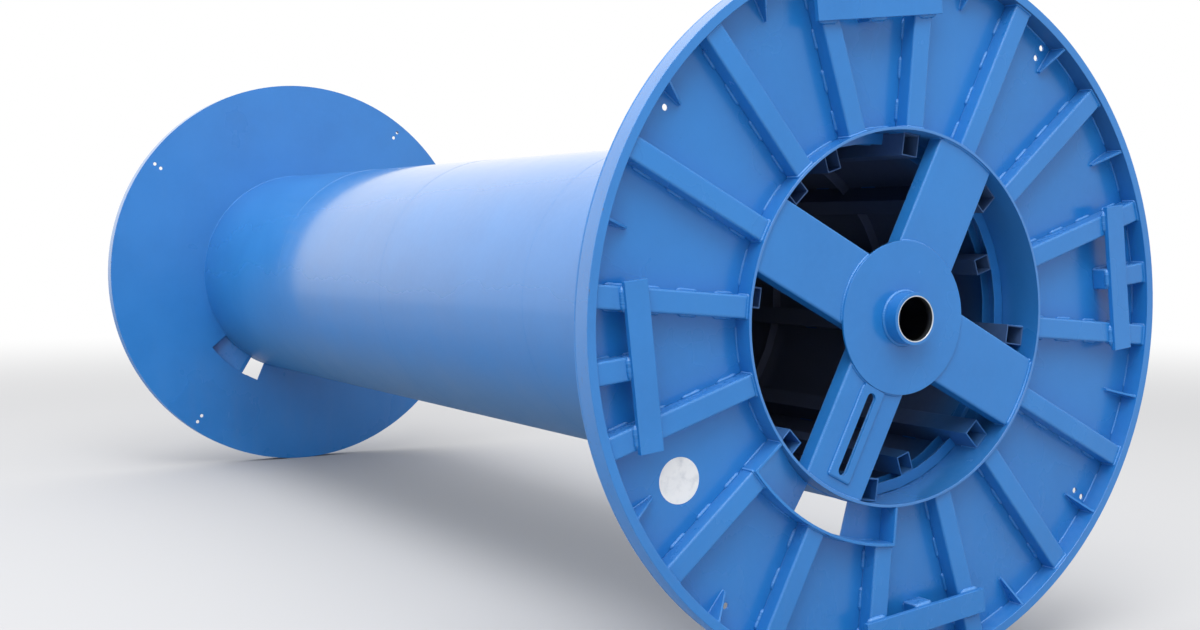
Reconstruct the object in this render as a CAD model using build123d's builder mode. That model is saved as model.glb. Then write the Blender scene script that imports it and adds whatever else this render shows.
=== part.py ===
from build123d import *

import os
from math import asin, atan2, cos, degrees, radians, sin, sqrt, tan

# A welded steel cable drum lying on its two flanges.
# The drum's axis runs along Y, at the height of the flange radius, and the floor is Z = 0.
# The front end faces -Y. The origin is on the floor, under the middle of the axis.
# Angles of the flange pattern count anticlockwise as seen from the front end.
# All lengths are in millimetres and all angles in degrees.

# Whole drum
drum_length = 6080.0
flange_diameter = 2500.0
roll_angle = 6.5
weld_gap = 0.3

# Barrel
barrel_diameter = 1300.0
barrel_wall = 10.0

# Flange disc and rim
disc_thickness = 8.0
rim_depth = 74.0
rim_width = 32.0
rim_joint_angle = -94.9

# Radial ribs, bent from plate to a channel that is closed by the disc
rib_count = 16
rib_width = 75.0
rib_height = 62.0
rib_plate = 6.0
rib_bend = 3.5

# Short ribs and flat bars that stiffen the rim at four places
bar_count = 4
bar_length = 540.0
bar_width = 85.0
bar_thickness = 20.0
bar_rim_setback = 118.5
short_rib_stand_out = 8.5
short_rib_cap = 6.0

# Gusset plates between the ribs
gusset_thickness = 8.0
gusset_length = 104.0
gusset_nose = 12.0
gusset_rim_setback = 4.0

# Lashing holes beside the gussets
lashing_hole_diameter = 22.0
lashing_rim_setback = 22.0
lashing_pitch = 46.0
lashing_offset_angle = 2.0

# Cable pocket, where the cable's end comes out through the flange
pocket_rib_index = 10
pocket_depth = 134.0
pocket_plate = 10.0
front_hole_end_angle = 248.0
rear_hole_end_angle = 240.0
ramp_end_angle = 231.5
ramp_thickness = 8.0

# Hub
hub_tube_diameter = 180.0
bore_diameter = 150.0
hub_tube_stand_out = 60.0
hub_tube_length = 164.0
hub_plate_diameter = 528.0
hub_plate_thickness = 10.0

# Hub arms
arm_count = 4
arm_width = 260.0
arm_depth = 62.0
arm_plate = 8.0
arm_bend = 3.5
arm_first_angle = 56.25

# Drive slot in one arm, with the plate that doubles its edge
slot_arm_index = 2
slot_width = 36.0
slot_hub_setback = 20.0
slot_wall_setback = 56.0
slot_plate_width = 90.0
slot_plate_margin = 12.0
slot_plate_thickness = 8.0

# Stiffening inside the barrel
outer_tube_width = 70.0
outer_tube_height = 80.0
outer_tube_spread_angle = 19.2
outer_tube_start = 70.0
inner_tube_width = 60.0
inner_tube_height = 70.0
inner_tube_start = 178.0
tube_wall = 5.0
ring_height = 40.0
end_ring_start = 178.0
end_ring_width = 66.0
end_ring_plate = 6.0
flat_ring_depths = (818.0, 1531.0)
flat_ring_thickness = 10.0
ring_side_count = 40

# Derived places
flange_radius = flange_diameter / 2
barrel_radius = barrel_diameter / 2
barrel_bore = barrel_radius - barrel_wall
rim_bore = flange_radius - rim_width
hub_tube_radius = hub_tube_diameter / 2
hub_plate_radius = hub_plate_diameter / 2
front_y = -drum_length / 2
disc_back = rim_depth + disc_thickness
rib_pitch = 360 / rib_count
rib_face = rim_depth - rib_height
bay_pitch = 360 / bar_count
bar_radius = rim_bore - bar_rim_setback - bar_width / 2
short_rib_start = bar_radius - bar_width / 2 - short_rib_stand_out
lashing_outer_radius = rim_bore - lashing_rim_setback
lashing_inner_radius = lashing_outer_radius - lashing_pitch
pocket_radius = barrel_radius + pocket_depth
pocket_bore = pocket_radius - pocket_plate
pocket_ribs = [pocket_rib_index - 1, pocket_rib_index, pocket_rib_index + 1]
pocket_flank = rib_width / 2
arm_face = hub_plate_thickness
arm_angles = [arm_first_angle + 360 / arm_count * k for k in range(arm_count)]
slot_angle = arm_angles[slot_arm_index]
slot_start = hub_plate_radius + slot_hub_setback
slot_end = barrel_bore - slot_wall_setback
slot_length = slot_end - slot_start
slot_radius = (slot_start + slot_end) / 2
slot_plate_start = hub_plate_radius + weld_gap
slot_plate_end = slot_end + slot_plate_margin
ring_bore = barrel_bore - ring_height
outer_tube_angles = [a + s * outer_tube_spread_angle for a in arm_angles for s in (-1, 1)]
inner_tube_angles = [a + 180 / arm_count for a in arm_angles]
outer_tube_seat = sqrt((barrel_bore - weld_gap) ** 2 - (outer_tube_width / 2) ** 2)
ring_turn = inner_tube_angles[0] + 180 / ring_side_count
inner_tube_seat = ring_bore * cos(radians(180 / ring_side_count)) - weld_gap


def cross_plane(depth, angle=0.0):
    """Plane across the drum at a depth behind the front rim's edge, facing out of the front end."""
    turned = radians(angle + roll_angle)
    origin = (0, front_y + depth, flange_radius)
    return Plane(origin=origin, x_dir=(cos(turned), 0, sin(turned)), z_dir=(0, -1, 0))


def radial_plane(depth, radius, angle):
    """Plane square to a radius: its x runs anticlockwise and its y out of the front end."""
    turned = radians(angle + roll_angle)
    origin = (radius * cos(turned), front_y + depth, flange_radius + radius * sin(turned))
    return Plane(
        origin=origin,
        x_dir=(-sin(turned), 0, cos(turned)),
        z_dir=(cos(turned), 0, sin(turned)),
    )


def side_plane(depth, angle):
    """Plane that holds the axis and a radius: its x runs outwards and its y out of the front end."""
    turned = radians(angle + roll_angle)
    origin = (0, front_y + depth, flange_radius)
    return Plane(
        origin=origin,
        x_dir=(cos(turned), 0, sin(turned)),
        z_dir=(sin(turned), 0, -cos(turned)),
    )


def rib_angle(index):
    """Angle of a rib's centre line."""
    return rib_pitch * (index + 0.5)


def polar_point(radius, angle):
    """Point in a plane across the drum."""
    return (radius * cos(radians(angle)), radius * sin(radians(angle)))


def save(name, part):
    """Give a finished piece its label and write its file."""
    part.label = name
    export_step(part, f"parts/{name}.step")


def save_rear(name, part):
    """Write the rear end's piece, the mirror image of one that is made at the front end."""
    with BuildPart() as rear:
        mirror(part, about=Plane.XZ)
    save(f"rear_{name}", rear.part)


def save_both_ends(name, part):
    """Write a piece of the front end, and its mirror image at the rear end."""
    save(f"front_{name}", part)
    save_rear(name, part)


os.makedirs("parts", exist_ok=True)

# Barrel, a rolled tube that runs from rim edge to rim edge
with BuildPart() as barrel:
    with BuildSketch(cross_plane(0)):
        Circle(barrel_radius)
        Circle(barrel_bore, mode=Mode.SUBTRACT)
    extrude(amount=-drum_length)
save("barrel", barrel.part)

# Rim, a bar rolled on edge and set on the disc
with BuildPart() as rim:
    with BuildSketch(cross_plane(0, rim_joint_angle)):
        Circle(flange_radius)
        Circle(rim_bore, mode=Mode.SUBTRACT)
    extrude(amount=-rim_depth)
save_both_ends("rim", rim.part)

# Flange discs with their lashing holes and the hole that lets the cable's end out
first_pocket_angle = rib_angle(pocket_ribs[0])
last_pocket_angle = rib_angle(pocket_ribs[-1])
pocket_side = pocket_flank - pocket_plate
for end, hole_end in (("front", front_hole_end_angle), ("rear", rear_hole_end_angle)):
    with BuildPart() as disc:
        with BuildSketch(cross_plane(rim_depth, rim_joint_angle)):
            Circle(flange_radius)
            Circle(barrel_radius + weld_gap, mode=Mode.SUBTRACT)
        extrude(amount=-disc_thickness)
        with BuildSketch(cross_plane(rim_depth, first_pocket_angle)):
            with BuildLine():
                Polyline(
                    (0, -pocket_side),
                    (flange_radius, -pocket_side),
                    polar_point(flange_radius, hole_end - first_pocket_angle),
                    (0, 0),
                    close=True,
                )
            make_face()
            Circle(pocket_bore, mode=Mode.INTERSECT)
            Circle(barrel_bore, mode=Mode.SUBTRACT)
        extrude(amount=-disc_thickness, mode=Mode.SUBTRACT)
        with BuildSketch(cross_plane(rim_depth)):
            for radius in (lashing_outer_radius, lashing_inner_radius):
                start = bay_pitch / 2 + lashing_offset_angle
                with PolarLocations(radius, bar_count, start_angle=start):
                    Circle(lashing_hole_diameter / 2)
        extrude(amount=-disc_thickness, mode=Mode.SUBTRACT)
    if end == "front":
        save("front_disc", disc.part)
    else:
        save_rear("disc", disc.part)

# Radial ribs, each a channel that stands on the disc with its open side down
rib_end = sqrt(rim_bore**2 - (rib_width / 2) ** 2) - weld_gap
with BuildPart() as ribs:
    for index in range(rib_count):
        start = (pocket_radius if index in pocket_ribs else barrel_radius) + weld_gap
        with BuildSketch(radial_plane(rim_depth, start, rib_angle(index))) as section:
            Rectangle(rib_width, rib_height, align=(Align.CENTER, Align.MIN))
            chamfer(section.vertices().group_by(Axis.Y)[-1], rib_bend)
            Rectangle(
                rib_width - 2 * rib_plate,
                rib_height - rib_plate,
                align=(Align.CENTER, Align.MIN),
                mode=Mode.SUBTRACT,
            )
        extrude(amount=rib_end - start)
save_both_ends("ribs", ribs.part)

# Short ribs between the bars and the rim, each with a plate that closes its inner end
with BuildPart() as short_ribs:
    for index in range(bar_count):
        with BuildSketch(radial_plane(rim_depth, short_rib_start, bay_pitch * index)) as section:
            Rectangle(rib_width, rib_height, align=(Align.CENTER, Align.MIN))
            chamfer(section.vertices().group_by(Axis.Y)[-1], rib_bend)
            Rectangle(
                rib_width - 2 * rib_plate,
                rib_height - rib_plate,
                align=(Align.CENTER, Align.MIN),
                mode=Mode.SUBTRACT,
            )
        extrude(amount=rib_end - short_rib_start)
        with BuildSketch(radial_plane(rim_depth, short_rib_start, bay_pitch * index)):
            Rectangle(
                rib_width - 2 * rib_plate,
                rib_height - rib_plate,
                align=(Align.CENTER, Align.MIN),
            )
        extrude(amount=short_rib_cap)
save_both_ends("short_ribs", short_ribs.part)

# Flat bars across the ribs, one at a time
for index in range(bar_count):
    with BuildPart() as bar:
        with BuildSketch(cross_plane(rib_face)):
            with PolarLocations(bar_radius, 1, start_angle=bay_pitch * index):
                Rectangle(bar_width, bar_length)
        extrude(amount=bar_thickness)
    save_both_ends(f"bar_{index + 1}", bar.part)

# Gussets between rim and disc, wherever no bar or rib stands
gusset_end = rim_bore - weld_gap
with BuildPart() as gussets:
    for index in range(rib_count):
        if index % (rib_count // bar_count) == 0:
            continue
        with BuildSketch(side_plane(rim_depth, rib_pitch * index)):
            with BuildLine():
                Polyline(
                    (gusset_end, 0),
                    (gusset_end, rim_depth - gusset_rim_setback),
                    (gusset_end - gusset_length, gusset_nose),
                    (gusset_end - gusset_length, 0),
                    close=True,
                )
            make_face()
        extrude(amount=gusset_thickness / 2, both=True)
save_both_ends("gussets", gussets.part)

# Cable pocket, a curved wall with two end walls in line with the outer flanks of two ribs
flank_angle = degrees(asin(pocket_flank / pocket_radius))
end_wall_length = pocket_radius - barrel_radius
end_wall_centre = pocket_flank - pocket_plate / 2
with BuildPart() as pocket:
    with BuildSketch(cross_plane(rim_depth)):
        with BuildLine():
            Polyline(
                (0, 0),
                polar_point(2 * pocket_radius, first_pocket_angle - flank_angle),
                polar_point(2 * pocket_radius, last_pocket_angle + flank_angle),
                close=True,
            )
        make_face()
        Circle(pocket_bore, mode=Mode.SUBTRACT)
        with PolarLocations(barrel_radius + end_wall_length / 2, 1, start_angle=first_pocket_angle):
            with Locations((0, -end_wall_centre)):
                Rectangle(end_wall_length, pocket_plate)
        with PolarLocations(barrel_radius + end_wall_length / 2, 1, start_angle=last_pocket_angle):
            with Locations((0, end_wall_centre)):
                Rectangle(end_wall_length, pocket_plate)
        Circle(pocket_radius, mode=Mode.INTERSECT)
        Circle(barrel_radius + weld_gap, mode=Mode.SUBTRACT)
    extrude(amount=rim_depth)
save_both_ends("pocket_wall", pocket.part)

# Ramp that leads the cable's end from the back of the disc up to the rim's level
ramp_span = ramp_end_angle - first_pocket_angle
ramp_side = pocket_side - weld_gap
ramp_run = pocket_radius * sin(radians(ramp_span)) + ramp_side
ramp_slope = atan2(disc_back, ramp_run)
ramp_rise = ramp_thickness / cos(ramp_slope)
with BuildPart() as ramp:
    with BuildSketch(cross_plane(disc_back, first_pocket_angle)):
        with BuildLine():
            Polyline(
                (0, -ramp_side),
                (flange_radius, -ramp_side),
                (flange_radius, flange_radius * tan(radians(ramp_span))),
                (0, 0),
                close=True,
            )
        make_face()
        Circle(pocket_bore - weld_gap, mode=Mode.INTERSECT)
        Circle(barrel_radius + weld_gap, mode=Mode.SUBTRACT)
    extrude(amount=disc_back)
    with BuildSketch(radial_plane(disc_back, 0, ramp_end_angle)):
        with BuildLine():
            Polyline(
                (0, 0),
                (-ramp_run, disc_back),
                (-ramp_run, disc_back - ramp_rise),
                (-ramp_rise / tan(ramp_slope), 0),
                close=True,
            )
        make_face()
    extrude(amount=flange_radius, mode=Mode.INTERSECT)
save_both_ends("ramp", ramp.part)

# Hub tube
with BuildPart() as hub_tube:
    with BuildSketch(cross_plane(-hub_tube_stand_out)):
        Circle(hub_tube_radius)
        Circle(bore_diameter / 2, mode=Mode.SUBTRACT)
    extrude(amount=-hub_tube_length)
save_both_ends("hub_tube", hub_tube.part)

# Hub plate round the tube
with BuildPart() as hub_plate:
    with BuildSketch(cross_plane(0)):
        Circle(hub_plate_radius)
        Circle(hub_tube_radius + weld_gap, mode=Mode.SUBTRACT)
    extrude(amount=-hub_plate_thickness)
save_both_ends("hub_plate", hub_plate.part)

# Hub arms, channels that open to the back and meet in mitres at the hub tube
arm_reach = 2 * barrel_bore
mitre_gap = weld_gap / sqrt(2)
for index in range(arm_count):
    with BuildPart() as arm:
        with BuildSketch(cross_plane(arm_face, arm_angles[index])):
            with BuildLine():
                Polyline(
                    (mitre_gap, 0),
                    (arm_width / 2 + mitre_gap, arm_width / 2),
                    (arm_reach, arm_width / 2),
                    (arm_reach, -arm_width / 2),
                    (arm_width / 2 + mitre_gap, -arm_width / 2),
                    close=True,
                )
            make_face()
            Circle(barrel_bore - weld_gap, mode=Mode.INTERSECT)
            Circle(hub_tube_radius + weld_gap, mode=Mode.SUBTRACT)
        extrude(amount=-arm_depth)
        with BuildSketch(radial_plane(arm_face, 0, arm_angles[index])) as section:
            Rectangle(arm_width, arm_depth, align=(Align.CENTER, Align.MAX))
            chamfer(section.vertices().group_by(Axis.Y)[-1], arm_bend)
            with Locations((0, -arm_plate)):
                Rectangle(
                    arm_width - 2 * arm_plate,
                    arm_depth,
                    align=(Align.CENTER, Align.MAX),
                    mode=Mode.SUBTRACT,
                )
        extrude(amount=arm_reach, mode=Mode.INTERSECT)
        if index == slot_arm_index:
            with BuildSketch(cross_plane(arm_face, slot_angle)):
                with Locations((slot_radius, 0)):
                    SlotOverall(slot_length, slot_width)
            extrude(amount=-arm_plate, mode=Mode.SUBTRACT)
    save_both_ends(f"arm_{index + 1}", arm.part)

# Plate that doubles the edge of the drive slot
with BuildPart() as slot_plate:
    with BuildSketch(cross_plane(arm_face, slot_angle)):
        with Locations((slot_plate_start, 0)):
            Rectangle(
                slot_plate_end - slot_plate_start,
                slot_plate_width,
                align=(Align.MIN, Align.CENTER),
            )
        with Locations((slot_radius, 0)):
            SlotOverall(slot_length, slot_width, mode=Mode.SUBTRACT)
    extrude(amount=slot_plate_thickness)
save_both_ends("slot_plate", slot_plate.part)

# Tubes along the barrel beside the arms, against its wall
for index, angle in enumerate(outer_tube_angles):
    with BuildPart() as outer_tube:
        with BuildSketch(cross_plane(outer_tube_start, angle)):
            with Locations((outer_tube_seat, 0)):
                Rectangle(outer_tube_height, outer_tube_width, align=(Align.MAX, Align.CENTER))
            with Locations((outer_tube_seat - tube_wall, 0)):
                Rectangle(
                    outer_tube_height - 2 * tube_wall,
                    outer_tube_width - 2 * tube_wall,
                    align=(Align.MAX, Align.CENTER),
                    mode=Mode.SUBTRACT,
                )
        extrude(amount=-(drum_length - 2 * outer_tube_start))
    save(f"outer_tube_{index + 1}", outer_tube.part)

# Tubes along the barrel between the arms, on the inner edges of the rings
for index, angle in enumerate(inner_tube_angles):
    with BuildPart() as inner_tube:
        with BuildSketch(cross_plane(inner_tube_start, angle)):
            with Locations((inner_tube_seat, 0)):
                Rectangle(inner_tube_height, inner_tube_width, align=(Align.MAX, Align.CENTER))
            with Locations((inner_tube_seat - tube_wall, 0)):
                Rectangle(
                    inner_tube_height - 2 * tube_wall,
                    inner_tube_width - 2 * tube_wall,
                    align=(Align.MAX, Align.CENTER),
                    mode=Mode.SUBTRACT,
                )
        extrude(amount=-(drum_length - 2 * inner_tube_start))
    save(f"inner_tube_{index + 1}", inner_tube.part)


# Channel rings near the ends, with their web on the barrel wall, cut where tubes pass
with BuildPart() as end_ring:
    with BuildSketch(cross_plane(end_ring_start, ring_turn)):
        RegularPolygon(barrel_bore - weld_gap, ring_side_count)
        RegularPolygon(ring_bore, ring_side_count, mode=Mode.SUBTRACT)
    extrude(amount=-end_ring_width)
    with BuildSketch(cross_plane(end_ring_start + end_ring_plate, ring_turn)):
        RegularPolygon(barrel_bore - weld_gap - end_ring_plate, ring_side_count)
    extrude(amount=-(end_ring_width - 2 * end_ring_plate), mode=Mode.SUBTRACT)
    for angle in outer_tube_angles:
        with BuildSketch(cross_plane(end_ring_start, angle)):
            Rectangle(
                barrel_radius,
                outer_tube_width + 2 * weld_gap,
                align=(Align.MIN, Align.CENTER),
            )
        extrude(amount=-end_ring_width, mode=Mode.SUBTRACT)
save_both_ends("end_ring", end_ring.part)

# Flat rings further in, cut where tubes pass
with BuildPart() as flat_rings:
    for depth in flat_ring_depths:
        with BuildSketch(cross_plane(depth, ring_turn)):
            RegularPolygon(barrel_bore - weld_gap, ring_side_count)
            RegularPolygon(ring_bore, ring_side_count, mode=Mode.SUBTRACT)
            for angle in outer_tube_angles:
                with PolarLocations(barrel_radius / 2, 1, start_angle=angle - ring_turn):
                    Rectangle(barrel_radius, outer_tube_width + 2 * weld_gap, mode=Mode.SUBTRACT)
        extrude(amount=-flat_ring_thickness)
save_both_ends("flat_rings", flat_rings.part)
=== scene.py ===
from math import asin, ceil, cos, degrees, pi, radians, sin, sqrt

import bmesh
import bpy
import numpy as np
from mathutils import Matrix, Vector


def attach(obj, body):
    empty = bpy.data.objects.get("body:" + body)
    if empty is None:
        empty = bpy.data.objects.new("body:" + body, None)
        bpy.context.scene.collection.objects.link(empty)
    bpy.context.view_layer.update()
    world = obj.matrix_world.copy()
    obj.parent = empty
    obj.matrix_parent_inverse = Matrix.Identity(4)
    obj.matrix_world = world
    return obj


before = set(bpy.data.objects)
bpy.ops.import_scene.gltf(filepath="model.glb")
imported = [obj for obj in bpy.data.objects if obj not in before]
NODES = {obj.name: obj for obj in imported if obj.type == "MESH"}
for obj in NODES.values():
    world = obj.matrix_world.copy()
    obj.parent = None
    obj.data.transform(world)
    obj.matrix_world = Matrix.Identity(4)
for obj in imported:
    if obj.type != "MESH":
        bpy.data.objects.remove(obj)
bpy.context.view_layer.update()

# Sizes of the drum in metres. A depth is measured from the rim's edge towards the middle
HALF = 3.040
AXIS_Z = 1.250
R_FLANGE = 1.250
R_RIM_BORE = 1.218
R_BARREL = 0.650
R_BORE = 0.640
DISC = 0.074
DISC_BACK = 0.082
# The barrel's inner look gives way to its outer one between these radii
WALL_SKINS = (0.6445, 0.6465)

# Ribs and bars. Angles of the flange pattern are in degrees
ROLL = 6.5
RIB_COUNT = 16
RIB_STEP = 360 / RIB_COUNT
RIB_FACE = 0.012
RIB_HALF = 0.0375
RIB_FOLD = 0.003
R_RIB_END = 1.205
R_SHORT_RIB = 1.012
R_BAR = 1.057
BAR_HALF = 0.0425
# A bar's three crossings: place along the bar, and length of the bead
BAR_CROSSINGS = ((-0.215, 0.08), (0.0, 0.075), (0.215, 0.08))
# Radii between which a gusset stands
GUSSET_REACH = (1.112, 1.216)
GUSSET_HALF = 0.004
GUSSET_FACE = 0.006

# Hub
ARMS = [56.25 + 90 * k for k in range(4)]
SLOTTED_ARM = ARMS[2]
ARM_HALF = 0.130
ARM_FACE = 0.010
# Depths between which an arm's side is welded
ARM_FLANK = (0.013, 0.070)
# Place of a mitre's bead, along and across an arm
ARM_MITRE = (0.131, 0.1305)
R_HUB_PLATE = 0.264
R_HUB_TUBE = 0.0905
HUB_TUBE_SEAT = -0.001
R_LIP = 0.079
R_SPINDLE = 0.075
# The bead round the slot plate, along and across the slotted arm
SLOT_PLATE = ((0.270, -0.045), (0.596, -0.045), (0.596, 0.045), (0.270, 0.045))
SLOT_PLATE_FACE = 0.0085

# Cable pocket, with the angles of its two end walls
POCKET = (213.75, 258.75)
POCKET_RIBS = (9, 10, 11)
R_POCKET = 0.784
POCKET_PLATE = 0.010
POCKET_FACE = 0.002
# Radii between which an end wall is welded
POCKET_END_WALL = (0.66, 0.775)

# Box tubes in the barrel. The spread is the angle between a tube and the arm beside it
TUBE_SPREAD = 19.2
TUBE_HALF = 0.035
R_TUBE_SEAT = 0.6397
# Depths between which a tube is stitched to the barrel
TUBE_WELDED = (0.072, 1.5)

# Seams, and the label with its radius and angle on the disc
SEAM_DEPTHS = (1.560, 3.060, 4.560)
LABEL_PLACE = (1.0, 203.3)
LABEL_RADIUS = 0.076
LABEL_THICK = 0.0006
LABEL_POINTS = 96

rng = np.random.default_rng(7)


def place(radius, angle, depth, rear=False):
    """Point at a radius and pattern angle, at a depth behind one end's rim edge."""
    return spoke(angle, radius, 0.0, depth, rear)


def spoke(angle, along, across, depth, rear=False):
    """Point given along and across a spoke that stands at a pattern angle."""
    turn = radians(angle + ROLL)
    y = -HALF + depth
    x = along * cos(turn) - across * sin(turn)
    z = along * sin(turn) + across * cos(turn)
    return np.array([x, -y if rear else y, AXIS_Z + z])


def chord(radius, across):
    """How far along a spoke a circle lies, at a distance beside the spoke's middle."""
    return sqrt(radius**2 - across**2)


def half_angle(across, radius):
    """Half the angle that a width takes up on a circle."""
    return degrees(asin(across / radius))


# Shader nodes
class Tree:
    """Wires the shader nodes of one material or world."""

    def __init__(self, owner):
        owner.use_nodes = True
        self.tree = owner.node_tree
        self.tree.nodes.clear()

    def add(self, kind, inputs=None, **settings):
        node = self.tree.nodes.new(kind)
        for key, value in settings.items():
            setattr(node, key, value)
        for key, value in (inputs or {}).items():
            self.put(node.inputs[key], value)
        return node

    def put(self, socket, value):
        if isinstance(value, bpy.types.NodeSocket):
            self.tree.links.new(value, socket)
        else:
            socket.default_value = value

    def math(self, operation, a, b=0.0, clamp=False):
        node = self.add("ShaderNodeMath", operation=operation, use_clamp=clamp)
        self.put(node.inputs[0], a)
        self.put(node.inputs[1], b)
        return node.outputs[0]

    def plus(self, a, b, clamp=False):
        return self.math("ADD", a, b, clamp)

    def times(self, a, b, clamp=False):
        return self.math("MULTIPLY", a, b, clamp)

    def remap(self, value, low, high, to_low=0.0, to_high=1.0):
        """A smooth step from one range to another."""
        node = self.add("ShaderNodeMapRange", interpolation_type="SMOOTHSTEP")
        for socket, item in zip(node.inputs[:5], (value, low, high, to_low, to_high)):
            self.put(socket, item)
        return node.outputs[0]

    def mix(self, factor, a, b):
        node = self.add("ShaderNodeMix", data_type="RGBA")
        self.put(node.inputs[0], factor)
        self.put(node.inputs[6], a)
        self.put(node.inputs[7], b)
        return node.outputs[2]

    def noise(self, vector, scale, detail=3.0, roughness=0.55, distortion=0.0):
        inputs = {"Vector": vector, "Scale": scale, "Detail": detail}
        node = self.add("ShaderNodeTexNoise", inputs)
        self.put(node.inputs["Roughness"], roughness)
        self.put(node.inputs["Distortion"], distortion)
        return node.outputs["Fac"]

    def stretch(self, vector, scale):
        return self.add("ShaderNodeMapping", {"Vector": vector, "Scale": scale}).outputs[0]

    def split(self, vector):
        return self.add("ShaderNodeSeparateXYZ", {0: vector}).outputs

    def bump(self, height, strength, distance, normal=None):
        inputs = {"Height": height, "Strength": strength, "Distance": distance}
        if normal is not None:
            inputs["Normal"] = normal
        return self.add("ShaderNodeBump", inputs).outputs[0]

    def output(self, surface, kind="ShaderNodeOutputMaterial"):
        node = self.add(kind)
        self.tree.links.new(surface, node.inputs["Surface"])


def rgb(red, green, blue):
    """Linear colour from 0 to 255 screen values."""

    def linear(level):
        level /= 255
        return level / 12.92 if level <= 0.04045 else ((level + 0.055) / 1.055) ** 2.4

    return (linear(red), linear(green), linear(blue), 1.0)


# Azure paint
AZURE_DEEP = (0.0130, 0.172, 0.508, 1)
AZURE_BRIGHT = (0.0180, 0.197, 0.565, 1)
AZURE_PALE = (0.027, 0.218, 0.617, 1)
AZURE_PAINTED_HIGHLIGHT = (0.190, 0.430, 0.860, 1)
AZURE_BARREL_SHADE = (0.030, 0.150, 0.340, 1)
AZURE_RIM_SHADE = (0.0185, 0.115, 0.310, 1)
DUST = rgb(150, 160, 170)
SCUFFED = rgb(104, 110, 118)
RUSTY = rgb(112, 72, 48)
CHIPPED = rgb(34, 72, 132)
WALL_STEEL_AND_SHADE = ((0.050, 0.094, 0.215, 1), (0.078, 0.132, 0.275, 1))
TUBE_STEEL_AND_SHADE = ((0.042, 0.080, 0.180, 1), (0.064, 0.110, 0.228, 1))
CUT_STEEL = rgb(62, 90, 130)
GREY_STEEL_AND_PAINTED_LIGHT = (0.165, 0.190, 0.285, 1)
TURNED_STEEL = (rgb(198, 206, 214), rgb(230, 236, 242))
STAINED_STEEL = rgb(180, 156, 104)
BORE_PAINTED_SHADE = rgb(60, 60, 60)

# Depths between which the sprayed paint gives way to a dull inside tone, partly bare steel and
# partly painted shade, by the part inside
SPRAY_AND_SHADE_ENDS = {"barrel": (0.20, 0.46), "rings": (0.24, 0.40), "tubes": (0.10, 0.42)}


class Surface:
    """Place and direction of a painted surface, and the noises that its tones share."""

    def __init__(self, t):
        self.where = t.add("ShaderNodeTexCoord").outputs["Object"]
        self.normal = t.add("ShaderNodeNewGeometry").outputs["Normal"]
        self.x, y, self.z = t.split(self.where)
        self.right, self.along, self.up = t.split(self.normal)
        self.above_axis = t.math("SUBTRACT", self.z, AXIS_Z)
        squares = t.plus(t.times(self.x, self.x), t.times(self.above_axis, self.above_axis))
        self.radius = t.math("SQRT", squares)
        self.deep = t.math("SUBTRACT", HALF, t.math("ABSOLUTE", y))
        self.broad = t.noise(self.where, 1.7, 4.0)
        self.fine = t.noise(self.where, 38.0, 5.0, 0.65)


def dust_cover(t, s, kind, dust):
    """Pale road dust lies on what faces up, and thins out over the plates."""
    streaks = t.noise(t.stretch(s.where, (3.0, 3.0, 0.55)), 5.0, 6.0, 0.6)
    low = t.remap(s.z, 0.05, 1.1, 1.0, 0.25)
    lying = t.remap(s.up, 0.15, 0.95, 0.0, 0.55)
    film = t.times(t.remap(streaks, 0.42, 0.78, 0.0, 0.2), low)
    cover = t.plus(t.times(lying, t.remap(s.fine, 0.25, 0.7, 0.45, 1.0)), film)
    cover = t.times(cover, dust * 0.55, clamp=True)
    if kind == "plate":
        # On the winding side of the flanges the pale tone grows towards the top
        winding_side = t.remap(s.deep, DISC_BACK - 0.002, DISC_BACK - 0.0005)
        high = t.remap(s.z, 0.3, 1.6, 0.01, 0.06)
        cover = t.plus(cover, t.times(winding_side, high), clamp=True)
    return cover


def rolling_wear(t, s):
    """Scuffs where the drum has rolled, and rust in the deeper ones."""
    edge = t.remap(s.radius, R_FLANGE - 0.006, R_FLANGE - 0.001)
    scratches = t.noise(t.stretch(s.where, (9.0, 60.0, 9.0)), 3.0, 7.0, 0.72, 0.4)
    worn = t.times(edge, t.remap(scratches, 0.61, 0.68), clamp=True)
    rust = t.times(worn, t.remap(s.fine, 0.5, 0.62), clamp=True)
    return worn, rust


def paint_chips(t, s):
    """Small chipped specks in a few areas."""
    specks = t.noise(s.where, 190.0, 2.0, 0.6)
    chips = t.times(t.remap(specks, 0.715, 0.74), t.remap(s.broad, 0.5, 0.62), clamp=True)
    return t.times(chips, 0.55)


def worn_paint(t, s, kind, rough, dust):
    """Colour, gloss and bare metal of the paint, with its dust, scuffs and chips."""
    colour = t.mix(t.remap(s.broad, 0.3, 0.7), AZURE_DEEP, AZURE_BRIGHT)
    colour = t.mix(t.remap(s.fine, 0.35, 0.75, 0.0, 0.16), colour, AZURE_PALE)
    cover = dust_cover(t, s, kind, dust)
    colour = t.mix(cover, colour, DUST)
    worn, rust = rolling_wear(t, s)
    colour = t.mix(worn, colour, SCUFFED)
    colour = t.mix(rust, colour, RUSTY)
    colour = t.mix(paint_chips(t, s), colour, CHIPPED)
    gloss = t.plus(rough, t.remap(s.broad, 0.3, 0.7, -0.04, 0.05))
    gloss = t.plus(gloss, t.times(cover, 0.55))
    gloss = t.plus(gloss, t.times(worn, 0.22), clamp=True)
    metal = t.times(worn, t.math("SUBTRACT", 1.0, rust), clamp=True)
    return colour, gloss, metal


def fold_painted_highlight(t, s, fold):
    """Painted highlight on the pressed folds that face the sky."""
    right, _, up = t.split(fold)
    level = t.add("ShaderNodeVectorMath", {0: fold, 1: s.normal}, operation="DOT_PRODUCT")
    open_sky = t.math("SUBTRACT", up, t.times(right, 0.4))
    light = t.remap(level.outputs["Value"], 0.99, 0.87)
    return t.times(light, t.remap(open_sky, 0.05, 0.45, 0.0, 0.95), clamp=True)


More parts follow.
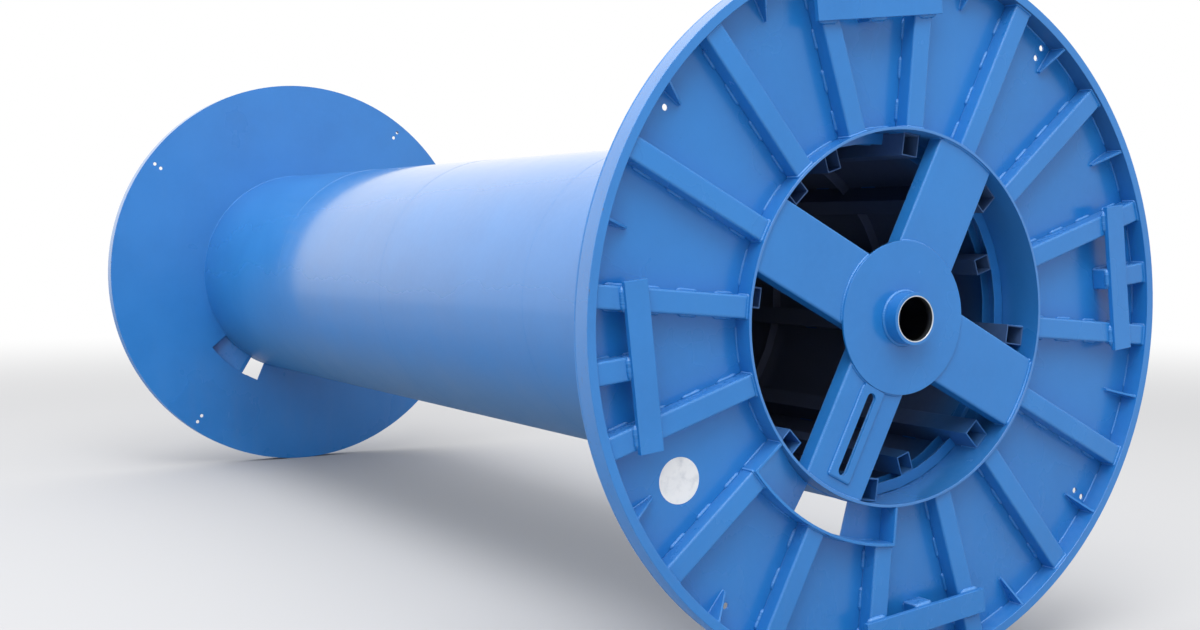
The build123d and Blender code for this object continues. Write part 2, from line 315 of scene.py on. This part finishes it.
def weld_painted_highlight(t, s):
    """Painted highlight on the round back of a weld, where it faces the sky."""
    open_sky = t.math("SUBTRACT", s.up, t.times(s.right, 0.3))
    return t.remap(open_sky, 0.2, 0.8, 0.0, 0.42)


def bare_and_shaded_inside(t, s, kind):
    """Only the mouth of the barrel caught the paint: further in lies bare steel, whose dull dark
    tone is partly painted shade of the inside.
    """
    spray = t.plus(s.deep, t.times(t.math("SUBTRACT", s.broad, 0.5), 0.2))
    bare = t.remap(spray, *SPRAY_AND_SHADE_ENDS[kind])
    if kind == "barrel":
        bare = t.math("MAXIMUM", bare, t.remap(s.broad, 0.3, 0.7, 0.04, 0.2))
        return t.times(bare, t.remap(s.radius, WALL_SKINS[1], WALL_SKINS[0]), clamp=True)
    if kind == "tubes":
        # Tubes above the axis show more of the dull tone than those below it
        return t.math("MAXIMUM", bare, t.remap(s.above_axis, -0.5, -0.15, 0.35, 0.85))
    return t.math("MAXIMUM", bare, 0.05)


def inside_steel_and_shade(t, s, kind):
    """Dull steel with a breath of blue near the mouth, plain grey in the middle: the dark tone is
    partly painted shade, the paler middle partly painted light.
    """
    dull = t.mix(s.fine, *(TUBE_STEEL_AND_SHADE if kind == "tubes" else WALL_STEEL_AND_SHADE))
    if kind == "tubes":
        cut = t.remap(t.math("ABSOLUTE", s.along), 0.6, 0.9)
        dull = t.mix(cut, dull, CUT_STEEL)
    return t.mix(t.remap(s.deep, 0.4, 1.4), dull, GREY_STEEL_AND_PAINTED_LIGHT)


def barrel_underside_shade(t, s):
    """Painted shade on the underside of the barrel, where it faces the ground."""
    outside = t.remap(s.radius, *WALL_SKINS)
    return t.times(t.times(t.remap(s.up, -0.3, -0.8), outside), 0.8)


def rim_painted_shade(t, s):
    """Painted shade on the hollow side of the rim, where it faces down."""
    hollow = t.remap(s.radius, R_RIM_BORE + 0.004, R_RIM_BORE + 0.001)
    return t.times(t.remap(s.up, -0.2, -0.6), hollow)


def turned_lip(t, s):
    """The bore and the lip of the hub tube are turned steel, never painted."""
    steel = t.remap(s.radius, R_LIP + 0.0005, R_LIP - 0.0005)
    turned = t.noise(t.stretch(s.where, (2.0, 260.0, 2.0)), 4.0, 3.0, 0.6)
    bare = t.mix(turned, *TURNED_STEEL)
    corner = t.times(t.remap(s.above_axis, 0.0, 0.06), t.remap(s.x, 0.0, 0.05))
    warm = t.times(corner, t.remap(t.noise(s.where, 22.0, 3.0), 0.35, 0.6))
    bare = t.mix(t.times(warm, 0.5), bare, STAINED_STEEL)
    # Painted shade deeper in the bore
    bore = t.remap(s.radius, R_SPINDLE + 0.0012, R_SPINDLE + 0.0006)
    bare = t.mix(t.times(bore, t.remap(s.deep, -0.050, -0.030)), bare, BORE_PAINTED_SHADE)
    return steel, bare, t.plus(0.26, t.times(turned, 0.12))


def washed_top(t, s, kind, coat, gloss):
    """Barrel and rim are duller where they face the ground than on the washed top."""
    coat = t.remap(s.up, -0.45, 0.35, 0.0, coat)
    gloss = t.plus(gloss, t.remap(s.up, -0.45, 0.35, 0.3, 0.0), clamp=True)
    if kind == "rim":
        # The rim's front edge has a thinner coat than the face it rolls on
        front = t.math("ABSOLUTE", s.along)
        coat = t.times(coat, t.remap(front, 0.5, 0.9, 1.0, 0.35))
    return coat, gloss


def paint_bumps(t, s, waves, peel, ripple, fold):
    """Soft waves of the plate, orange peel of the paint, and the rough back of a weld."""
    bump = t.bump(t.noise(s.where, 2.6, 2.0, 0.5), waves, 0.02, fold)
    bump = t.bump(t.noise(s.where, 240.0, 2.0, 0.5), peel, 0.0006, bump)
    if ripple:
        bump = t.bump(t.noise(s.where, 420.0, 3.0), ripple, 0.0015, bump)
    return bump


def azure_paint(
    kind,
    rough=0.27,
    waves=0.35,
    peel=0.12,
    dust=0.35,
    ripple=0.0,
    coat=0.2,
    shine=0.42,
    coat_rough=0.2,
    bend=0.0,
):
    """Semi-gloss azure paint, with the tones that belong to one kind of part, and on some kinds
    painted highlights and shade.
    """
    mat = bpy.data.materials.new(f"azure_paint_{kind}")
    t = Tree(mat)
    s = Surface(t)
    colour, gloss, metal = worn_paint(t, s, kind, rough, dust)
    fold = None
    if bend:
        # Folds made in a press are rounder than cut edges
        fold = t.add("ShaderNodeBevel", {"Radius": bend}, samples=6).outputs[0]
        # Painted highlight along the folds that face up
        colour = t.mix(fold_painted_highlight(t, s, fold), colour, AZURE_PAINTED_HIGHLIGHT)
    if ripple:
        # Painted highlight on the up-facing backs of the welds
        colour = t.mix(weld_painted_highlight(t, s), colour, AZURE_PAINTED_HIGHLIGHT)
    if kind in SPRAY_AND_SHADE_ENDS:
        # Paint gives way to dull steel inside: partly bare steel, partly painted shade
        bare = bare_and_shaded_inside(t, s, kind)
        colour = t.mix(bare, colour, inside_steel_and_shade(t, s, kind))
        gloss = t.plus(gloss, t.times(bare, 0.35), clamp=True)
    if kind == "hub":
        steel, bare, bare_gloss = turned_lip(t, s)
        colour = t.mix(steel, colour, bare)
        metal = t.math("MAXIMUM", metal, steel)
        gloss = t.mix(steel, gloss, bare_gloss)
    if kind == "barrel":
        # Painted shade on the barrel's underside
        colour = t.mix(barrel_underside_shade(t, s), colour, AZURE_BARREL_SHADE)
    if kind == "rim":
        # Painted shade on the rim's down-facing hollow side
        colour = t.mix(rim_painted_shade(t, s), colour, AZURE_RIM_SHADE)
    if kind in ("barrel", "rim"):
        coat, gloss = washed_top(t, s, kind, coat, gloss)
    shader = t.add(
        "ShaderNodeBsdfPrincipled",
        {
            "Base Color": colour,
            "Roughness": gloss,
            "Metallic": metal,
            "IOR": 1.5,
            "Specular IOR Level": shine,
            "Coat Weight": coat,
            "Coat Roughness": coat_rough,
            "Coat IOR": 1.65,
            "Normal": paint_bumps(t, s, waves, peel, ripple, fold),
        },
    )
    t.output(shader.outputs[0])
    return mat


PLATE_PAINT = azure_paint("plate")
FOLD_PAINT = azure_paint("folded", rough=0.24, bend=0.011)
BARREL_PAINT = azure_paint(
    "barrel", rough=0.18, waves=0.2, peel=0.05, dust=0.2, coat=1.0, coat_rough=0.1, shine=0.5
)
RIM_PAINT = azure_paint("rim", rough=0.2, waves=0.12, peel=0.06, dust=0.3, coat=1.0, shine=0.5)
RING_PAINT = azure_paint("rings", rough=0.34, waves=0.2, peel=0.1, coat=0.3)
TUBE_PAINT = azure_paint("tubes", rough=0.36, waves=0.2, peel=0.1, coat=0.1)
HUB_PAINT = azure_paint("hub", rough=0.24, waves=0.1, peel=0.08, dust=0.3)
WELD_PAINT = azure_paint(
    "weld", rough=0.28, waves=0.0, peel=0.1, dust=0.2, ripple=0.4, coat=0.12, shine=0.4
)

# Looks of the steel parts: how wide their edges are softened, and what they are painted with
PLAIN_EDGE = 0.0015
SOFT_EDGES = {
    "hub_tube": 0.0018,
    "hub_plate": 0.002,
    "rim": 0.0022,
    "disc": 0.0016,
    "ribs": 0.0024,
    "short_ribs": 0.0024,
    "arm": 0.0024,
    "bar": 0.0022,
}
PAINTS = {
    "barrel": BARREL_PAINT,
    "outer_tube": TUBE_PAINT,
    "inner_tube": TUBE_PAINT,
    "end_ring": RING_PAINT,
    "flat_rings": RING_PAINT,
    "hub_tube": HUB_PAINT,
    "rim": RIM_PAINT,
    "ribs": FOLD_PAINT,
    "short_ribs": FOLD_PAINT,
    "arm": FOLD_PAINT,
}


def part_kind(name):
    """Name of a node without its end of the drum and its number."""
    for end in ("front_", "rear_"):
        name = name.removeprefix(end)
    return name.rstrip("0123456789").rstrip("_")


def dress(name, obj):
    """Give a CAD node its paint and soften its edges."""
    kind = part_kind(name)
    obj.data.materials.clear()
    obj.data.materials.append(PAINTS.get(kind, PLATE_PAINT))
    weld = obj.modifiers.new("weld", "WELD")
    weld.merge_threshold = 0.00004
    flat = obj.modifiers.new("flat", "DECIMATE")
    flat.decimate_type = "DISSOLVE"
    flat.angle_limit = radians(0.6)
    soft = obj.modifiers.new("soft", "BEVEL")
    soft.width = SOFT_EDGES.get(kind, PLAIN_EDGE)
    soft.segments = 3 if kind in ("ribs", "short_ribs", "arm") else 2
    soft.limit_method = "ANGLE"
    soft.angle_limit = radians(20)
    soft.harden_normals = True
    soft.miter_outer = "MITER_ARC"
    even = obj.modifiers.new("even", "WEIGHTED_NORMAL")
    even.mode = "FACE_AREA"
    even.weight = 100
    even.keep_sharp = True
    for face in obj.data.polygons:
        face.use_smooth = True


for node_name, node in NODES.items():
    dress(node_name, node)


# Radii of the weld beads in metres, by the joint they run along
BEAD_RADII = {
    "rib_side": 0.0076,
    "rib_end": 0.005,
    "disc_at_rim": 0.0046,
    "disc_at_barrel": 0.0052,
    "disc_back": 0.0022,
    "disc_edge": 0.0026,
    "gusset": 0.0038,
    "bar": 0.0118,
    "short_rib_side": 0.0042,
    "short_rib_end": 0.0044,
    "hub_tube": 0.0078,
    "arm_end": 0.0052,
    "arm_side": 0.005,
    "arm_mitre": 0.004,
    "slot_plate": 0.0062,
    "pocket_wall": 0.0046,
    "pocket_corner": 0.0044,
    "ramp": 0.004,
    "box_tube": 0.004,
    "seam": 0.0039,
}

# Length and gap of the stitches of a broken weld in metres
RIB_STITCH = (0.076, 0.064)
SHORT_RIB_STITCH = (0.07, 0.05)
TUBE_STITCH = (0.08, 0.22)

# Short runs on the discs in degrees: place beside a bay's middle, its spread, and half lengths
RIM_RUN_PLACES = (-4.6, 4.6)
RIM_RUN_SPREAD = 0.3
RIM_RUN_HALF = (2.9, 3.3)
BARREL_RUN_HALF = (5.0, 6.0)

# A full ring starts and ends here, and its closing leg spans the rest of the circle
RING_TURN = (0, 358)
# How far the middle of an outer ring's bead lies under the steel's surface
RING_SUNK = 0.0034


class Beads:
    """Collects weld beads of one area and turns them into one mesh."""

    SIDES = 6
    RIPPLE_LENGTH = 0.0085
    WANDER_POINTS = 9

    def __init__(self):
        self.points = []
        self.faces = []

    def run(self, path, joint, step=0.0032, closed=False, ripple=0.09):
        """A bead along a path of corner points, with ripples and tapered ends."""
        radius = BEAD_RADII[joint]
        path = np.asarray(path, float)
        if closed:
            path = np.vstack([path, path[:1]])
        legs = np.linalg.norm(np.diff(path, axis=0), axis=1)
        along = np.concatenate([[0.0], np.cumsum(legs)])
        count = max(4, int(ceil(along[-1] / step)))
        s = np.linspace(0.0, along[-1], count + 1)
        if closed:
            s = s[:-1]
        centre = np.stack([np.interp(s, along, path[:, k]) for k in range(3)], axis=1)
        size = self.sizes(s, along[-1], radius, closed, ripple)
        u, v = self.axes(centre, closed)
        turn = np.arange(self.SIDES) * 2 * pi / self.SIDES
        ring = (
            centre[:, None, :]
            + size[:, None, None] * np.cos(turn)[None, :, None] * u[:, None, :]
            + size[:, None, None] * np.sin(turn)[None, :, None] * v[:, None, :]
        )
        self.skin(ring, closed)

    def sizes(self, s, length, radius, closed, ripple):
        """Radius at each place: ripples, a slow wander, and tapers at open ends."""
        phase = rng.uniform(0, 2 * pi)
        knots = np.linspace(0, length, self.WANDER_POINTS)
        wander = np.interp(s, knots, rng.normal(0, 0.5 * ripple, self.WANDER_POINTS))
        uneven = wander + rng.normal(0, 0.28 * ripple, len(s))
        waves = ripple * np.sin(2 * pi * s / self.RIPPLE_LENGTH + phase)
        size = radius * (1 + waves + uneven)
        if not closed:
            near = np.minimum(s, length - s)
            size = size * np.sqrt(np.clip(near / (radius * 1.4), 0.04, 1.0))
        return size

    def axes(self, centre, closed):
        """Two directions across the bead at each place."""
        if closed:
            tangent = np.roll(centre, -1, axis=0) - np.roll(centre, 1, axis=0)
        else:
            tangent = np.gradient(centre, axis=0)
        tangent /= np.linalg.norm(tangent, axis=1)[:, None]
        helper = np.where(np.abs(tangent[:, [1]]) < 0.8, [[0.0, 1.0, 0.0]], [[1.0, 0.0, 0.0]])
        u = np.cross(tangent, helper)
        u /= np.linalg.norm(u, axis=1)[:, None]
        return u, np.cross(tangent, u)

    def skin(self, ring, closed):
        """Faces round the bead, and caps on open ends."""
        first = len(self.points)
        self.points.extend(ring.reshape(-1, 3).tolist())
        rows = len(ring)
        for i in range(rows if closed else rows - 1):
            a = first + i * self.SIDES
            b = first + (i + 1) % rows * self.SIDES
            for k in range(self.SIDES):
                m = (k + 1) % self.SIDES
                self.faces.append((a + k, a + m, b + m, b + k))
        if not closed:
            last = first + (rows - 1) * self.SIDES
            self.faces.append(tuple(first + k for k in reversed(range(self.SIDES))))
            self.faces.append(tuple(last + k for k in range(self.SIDES)))

    def build(self, name, paint=WELD_PAINT):
        mesh = bpy.data.meshes.new(name)
        mesh.from_pydata(self.points, [], self.faces)
        mesh.update()
        bm = bmesh.new()
        bm.from_mesh(mesh)
        bmesh.ops.recalc_face_normals(bm, faces=bm.faces)
        bm.to_mesh(mesh)
        bm.free()
        mesh.polygons.foreach_set("use_smooth", [True] * len(mesh.polygons))
        mesh.materials.append(paint)
        obj = bpy.data.objects.new(name, mesh)
        bpy.context.scene.collection.objects.link(obj)
        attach(obj, "root")


def arc(radius, start, end, depth, rear, step=0.6):
    """Points along a circle across the drum."""
    count = max(2, int(ceil(abs(end - start) / step)) + 1)
    return [place(radius, a, depth, rear) for a in np.linspace(start, end, count)]


def stitches(low, high, length, gap):
    """Start and end of each stitch of a broken weld."""
    found = []
    at = low
    while at + length * 0.6 < high:
        end = min(high, at + length * rng.uniform(0.92, 1.08))
        found.append((at, end))
        at = end + gap * rng.uniform(0.9, 1.1)
    return found


# The path round a rib's end: up one side, over its face and down the other side
RIB_OUTLINE = [(-RIB_HALF, DISC), (-RIB_HALF, RIB_FACE + RIB_FOLD), (-RIB_HALF + RIB_FOLD, RIB_FACE)]
RIB_OUTLINE += [(-across, depth) for across, depth in reversed(RIB_OUTLINE)]
R_RIB_SEAT = chord(R_RIM_BORE, RIB_HALF)
# Where the stitches beside a rib lie, across it and in depth
RIB_FOOT = (RIB_HALF + 0.001, DISC - 0.002)


def rib_welds(end_name, rear):
    """Stitches along the ribs, and beads round their two ends."""
    beads = Beads()
    for index in range(RIB_COUNT):
        angle = RIB_STEP * (index + 0.5)
        start = R_POCKET if index in POCKET_RIBS else R_BARREL
        for side in (-1, 1):
            across, depth = side * RIB_FOOT[0], RIB_FOOT[1]
            for pair in stitches(start + 0.02, R_RIB_END, *RIB_STITCH):
                beads.run([spoke(angle, a, across, depth, rear) for a in pair], "rib_side")
        inner = [spoke(angle, chord(start, a) + 0.001, a, d, rear) for a, d in RIB_OUTLINE]
        outer = [spoke(angle, R_RIB_SEAT, a, d, rear) for a, d in RIB_OUTLINE]
        beads.run(inner, "rib_end")
        beads.run(outer, "rib_end")
    beads.build(f"{end_name}_rib_welds")


def disc_welds(end_name, rear):
    """Short runs where the disc meets rim and barrel, and full rings at its back and outer edge."""
    beads = Beads()
    for index in range(RIB_COUNT):
        centre = RIB_STEP * index
        for offset in RIM_RUN_PLACES:
            half = rng.uniform(*RIM_RUN_HALF)
            middle = centre + offset + rng.uniform(-RIM_RUN_SPREAD, RIM_RUN_SPREAD)
            beads.run(arc(R_RIM_BORE, middle - half, middle + half, DISC, rear), "disc_at_rim")
        half = rng.uniform(*BARREL_RUN_HALF)
        if not POCKET[0] < centre < POCKET[1]:
            beads.run(arc(R_BARREL, centre - half, centre + half, DISC, rear), "disc_at_barrel")
    back = arc(R_BARREL, *RING_TURN, DISC_BACK, rear)
    edge = arc(R_FLANGE - RING_SUNK, *RING_TURN, DISC, rear)
    beads.run(back, "disc_back", step=0.004, closed=True)
    beads.run(edge, "disc_edge", step=0.004, closed=True)
    beads.build(f"{end_name}_disc_welds")


def bar_welds(end_name, rear):
    """Beads along the gussets, where the bars cross ribs, and round the short ribs."""
    beads = Beads()
    for index in range(RIB_COUNT):
        if index % 4 == 0:
            continue
        angle = RIB_STEP * index
        for side in (-GUSSET_HALF, GUSSET_HALF):
            beads.run([spoke(angle, a, side, DISC, rear) for a in GUSSET_REACH], "gusset")
            depths = (DISC, GUSSET_FACE)
            beads.run([spoke(angle, R_RIM_BORE, side, d, rear) for d in depths], "gusset")
    for angle in (0, 90, 180, 270):
        for along in (R_BAR - BAR_HALF, R_BAR + BAR_HALF):
            for middle, width in BAR_CROSSINGS:
                sides = (middle - width / 2, middle + width / 2)
                beads.run([spoke(angle, along, a, RIB_FACE, rear) for a in sides], "bar")
        for across in (-RIB_HALF, RIB_HALF):
            for pair in stitches(R_SHORT_RIB, R_RIB_END, *SHORT_RIB_STITCH):
                beads.run([spoke(angle, a, across, DISC, rear) for a in pair], "short_rib_side")
        outer = [spoke(angle, R_RIB_SEAT, a, d, rear) for a, d in RIB_OUTLINE]
        beads.run(outer, "short_rib_end")
    beads.build(f"{end_name}_bar_welds")


def hub_welds(end_name, rear):
    """Beads round hub tube and slot plate, and along the arms' ends, sides and mitres."""
    beads = Beads()
    beads.run(arc(R_HUB_TUBE, 0, 357, HUB_TUBE_SEAT, rear, step=3.0), "hub_tube", closed=True)
    for angle in ARMS:
        half = half_angle(ARM_HALF - 0.004, R_HUB_PLATE)
        inner = arc(R_HUB_PLATE, angle - half, angle + half, ARM_FACE, rear, step=2.0)
        half = half_angle(ARM_HALF - 0.006, R_BORE)
        outer = arc(R_BORE, angle - half, angle + half, ARM_FACE, rear)
        beads.run(inner, "arm_end")
        beads.run(outer, "arm_end")
        for side in (-1, 1):
            mouth = chord(R_BORE, ARM_HALF)
            across = side * ARM_HALF
            beads.run([spoke(angle, mouth, across, d, rear) for d in ARM_FLANK], "arm_side")
            along, across = ARM_MITRE[0], side * ARM_MITRE[1]
            beads.run([spoke(angle, along, across, d, rear) for d in ARM_FLANK], "arm_mitre")
    outline = [spoke(SLOTTED_ARM, a, c, SLOT_PLATE_FACE, rear) for a, c in SLOT_PLATE]
    beads.run(outline, "slot_plate")
    beads.build(f"{end_name}_hub_welds")


def pocket_welds(end_name, rear):
    """Runs along the pocket's curved wall, its ramp and its two end walls."""
    beads = Beads()
    first, last = POCKET
    flank = half_angle(RIB_HALF, R_POCKET)
    runs = [(first - flank, first + 4), (first + 9, first + 17)]
    runs += [(first + 26, first + 36), (last - 6, last + flank)]
    for low, high in runs:
        beads.run(arc(R_POCKET, low, high, DISC, rear), "pocket_wall")
    beads.run(arc(R_POCKET - POCKET_PLATE, first + 20, last, DISC, rear), "ramp")
    for angle, across in ((first, -RIB_HALF), (last, RIB_HALF)):
        beads.run([spoke(angle, a, across, DISC, rear) for a in POCKET_END_WALL], "pocket_wall")
        corner = chord(R_BARREL, across)
        depths = (DISC, POCKET_FACE)
        beads.run([spoke(angle, corner, across, d, rear) for d in depths], "pocket_corner")
    beads.build(f"{end_name}_pocket_welds")


def tube_welds(end_name, rear):
    """Stitches along the box tubes that stand in pairs beside the arms."""
    beads = Beads()
    seat = chord(R_TUBE_SEAT, TUBE_HALF)
    for angle in [a + s * TUBE_SPREAD for a in ARMS for s in (-1, 1)]:
        for side in (-TUBE_HALF, TUBE_HALF):
            for pair in stitches(*TUBE_WELDED, *TUBE_STITCH):
                path = [spoke(angle, seat, side, d, rear) for d in pair]
                beads.run(path, "box_tube", step=0.006)
    beads.build(f"{end_name}_tube_welds")


def barrel_seams():
    """Seams round the barrel, where its rolled plates meet."""
    beads = Beads()
    for depth in SEAM_DEPTHS:
        path = arc(R_BARREL - RING_SUNK, *RING_TURN, depth, False)
        beads.run(path, "seam", step=0.006, closed=True, ripple=0.02)
    beads.build("barrel_seams", BARREL_PAINT)


for end_name in ("front", "rear"):
    at_rear = end_name == "rear"
    rib_welds(end_name, at_rear)
    disc_welds(end_name, at_rear)
    bar_welds(end_name, at_rear)
    hub_welds(end_name, at_rear)
    pocket_welds(end_name, at_rear)
    tube_welds(end_name, at_rear)
barrel_seams()


# Blank round label
def label_material():
    """Slightly grimy white film."""
    mat = bpy.data.materials.new("white_label")
    t = Tree(mat)
    where = t.add("ShaderNodeTexCoord").outputs["Object"]
    grime = t.noise(where, 26.0, 5.0, 0.62)
    blots = t.noise(where, 9.0, 3.0)
    colour = t.mix(t.remap(grime, 0.45, 0.8, 0.0, 0.55), rgb(232, 233, 234), rgb(178, 184, 192))
    colour = t.mix(t.remap(blots, 0.55, 0.75, 0.0, 0.35), colour, rgb(196, 202, 210))
    bump = t.bump(t.noise(where, 90.0, 3.0), 0.2, 0.0004)
    shader = t.add(
        "ShaderNodeBsdfPrincipled",
        {"Base Color": colour, "Roughness": 0.42, "IOR": 1.45, "Normal": bump},
    )
    t.output(shader.outputs[0])
    return mat


def disc_label():
    """A plain round label, stuck flat on the front disc."""
    bm = bmesh.new()
    centre = Vector(place(*LABEL_PLACE, DISC))
    rings = []
    for r, lift in (
        (LABEL_RADIUS, 0.0),
        (LABEL_RADIUS, LABEL_THICK * 0.6),
        (LABEL_RADIUS - 0.0004, LABEL_THICK),
    ):
        ring = []
        for k in range(LABEL_POINTS):
            a = 2 * pi * k / LABEL_POINTS
            ring.append(bm.verts.new(centre + Vector((r * cos(a), -lift, r * sin(a)))))
        rings.append(ring)
    middle = bm.verts.new(centre + Vector((0, -LABEL_THICK, 0)))
    for low, high in zip(rings, rings[1:]):
        for k in range(LABEL_POINTS):
            m = (k + 1) % LABEL_POINTS
            bm.faces.new((low[k], low[m], high[m], high[k]))
    for k in range(LABEL_POINTS):
        bm.faces.new((rings[-1][k], rings[-1][(k + 1) % LABEL_POINTS], middle))
    bmesh.ops.recalc_face_normals(bm, faces=bm.faces)
    mesh = bpy.data.meshes.new("disc_label")
    bm.to_mesh(mesh)
    bm.free()
    mesh.materials.append(label_material())
    obj = bpy.data.objects.new("disc_label", mesh)
    bpy.context.scene.collection.objects.link(obj)
    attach(obj, "root")


disc_label()


# Stage, light and camera
WHITE = (1.0, 1.0, 1.0, 1.0)
FLOOR_GREY = (0.46, 0.46, 0.465, 1.0)
HORIZON = (0.74, 0.77, 0.82, 1.0)
FLOOR_REACH = 60.0
FLOOR_FADE = (6.5, 16.0)


def shown_rays(t):
    """One for the rays that show the backdrop: from the camera, mirrored or passed through."""
    rays = t.add("ShaderNodeLightPath").outputs
    mirrored = t.plus(rays["Is Glossy Ray"], rays["Is Transmission Ray"])
    return t.plus(rays["Is Camera Ray"], mirrored, clamp=True)


def stage_floor():
    """A pale floor that fades to white where it is far away."""
    mesh = bpy.data.meshes.new("stage_floor")
    r = FLOOR_REACH
    mesh.from_pydata([(-r, -r, 0), (r, -r, 0), (r, r, 0), (-r, r, 0)], [], [(0, 1, 2, 3)])
    obj = bpy.data.objects.new("stage_floor", mesh)
    bpy.context.scene.collection.objects.link(obj)
    mat = bpy.data.materials.new("stage_pale")
    t = Tree(mat)
    x, y, _ = t.split(t.add("ShaderNodeTexCoord").outputs["Object"])
    far = t.math("SQRT", t.plus(t.times(x, x), t.times(y, y)))
    fade = t.times(t.remap(far, *FLOOR_FADE), shown_rays(t), clamp=True)
    ground = t.add("ShaderNodeBsdfDiffuse", {"Color": FLOOR_GREY})
    white = t.add("ShaderNodeEmission", {"Color": WHITE, "Strength": 1.0})
    both = t.add("ShaderNodeMixShader", {0: fade, 1: ground.outputs[0], 2: white.outputs[0]})
    t.output(both.outputs[0])
    mesh.materials.append(mat)


def stage_sky():
    """A soft sky that is brightest overhead, behind a white backdrop."""
    world = bpy.data.worlds.new("stage_sky")
    bpy.context.scene.world = world
    t = Tree(world)
    _, _, height = t.split(t.add("ShaderNodeTexCoord").outputs["Generated"])
    sky = t.mix(t.remap(height, -0.1, 0.85), HORIZON, WHITE)
    brightness = t.remap(height, 0.0, 0.85, 0.45, 1.6)
    lit = t.add("ShaderNodeBackground", {"Color": sky, "Strength": brightness})
    shown = t.add("ShaderNodeBackground", {"Color": WHITE, "Strength": 1.0})
    both = t.add("ShaderNodeMixShader", {0: shown_rays(t), 1: lit.outputs[0], 2: shown.outputs[0]})
    t.output(both.outputs[0], "ShaderNodeOutputWorld")


def area_light(name, position, target, size, power):
    """A round soft lamp that stands for a brighter part of the sky."""
    data = bpy.data.lights.new(name, "AREA")
    data.shape = "DISK"
    data.size = size
    data.energy = power
    obj = bpy.data.objects.new(name, data)
    bpy.context.scene.collection.objects.link(obj)
    obj.location = position
    direction = Vector(target) - Vector(position)
    obj.rotation_euler = direction.to_track_quat("-Z", "Y").to_euler()
    return obj


def photo_camera():
    """The camera at the photograph's place and angle."""
    data = bpy.data.cameras.new("photo_camera")
    data.lens = 46.566
    data.sensor_width = 36.0
    data.sensor_fit = "HORIZONTAL"
    data.shift_y = 0.0013
    camera = bpy.data.objects.new("photo_camera", data)
    camera.location = (-3.5835, -7.0619, 1.5615)
    pitch_down = 0.0579
    turn_right = 0.5341
    camera.rotation_euler = (pi / 2 - pitch_down, 0.0, -turn_right)
    bpy.context.scene.collection.objects.link(camera)
    bpy.context.scene.camera = camera


stage_floor()
stage_sky()
area_light("sky_left", (-14.0, -13.5, 16.0), (0, 0, 1.2), 11.0, 900)
area_light("sky_front", (-2.0, -6.5, 10.0), (0, -3.0, 1.2), 6.0, 400)
far_lamp = area_light("sky_far", (-3.0, 1.5, 10.5), (0, 3.0, 1.2), 6.0, 360)
far_lamp.visible_glossy = False
photo_camera()
bpy.context.scene.view_settings.view_transform = "Standard"
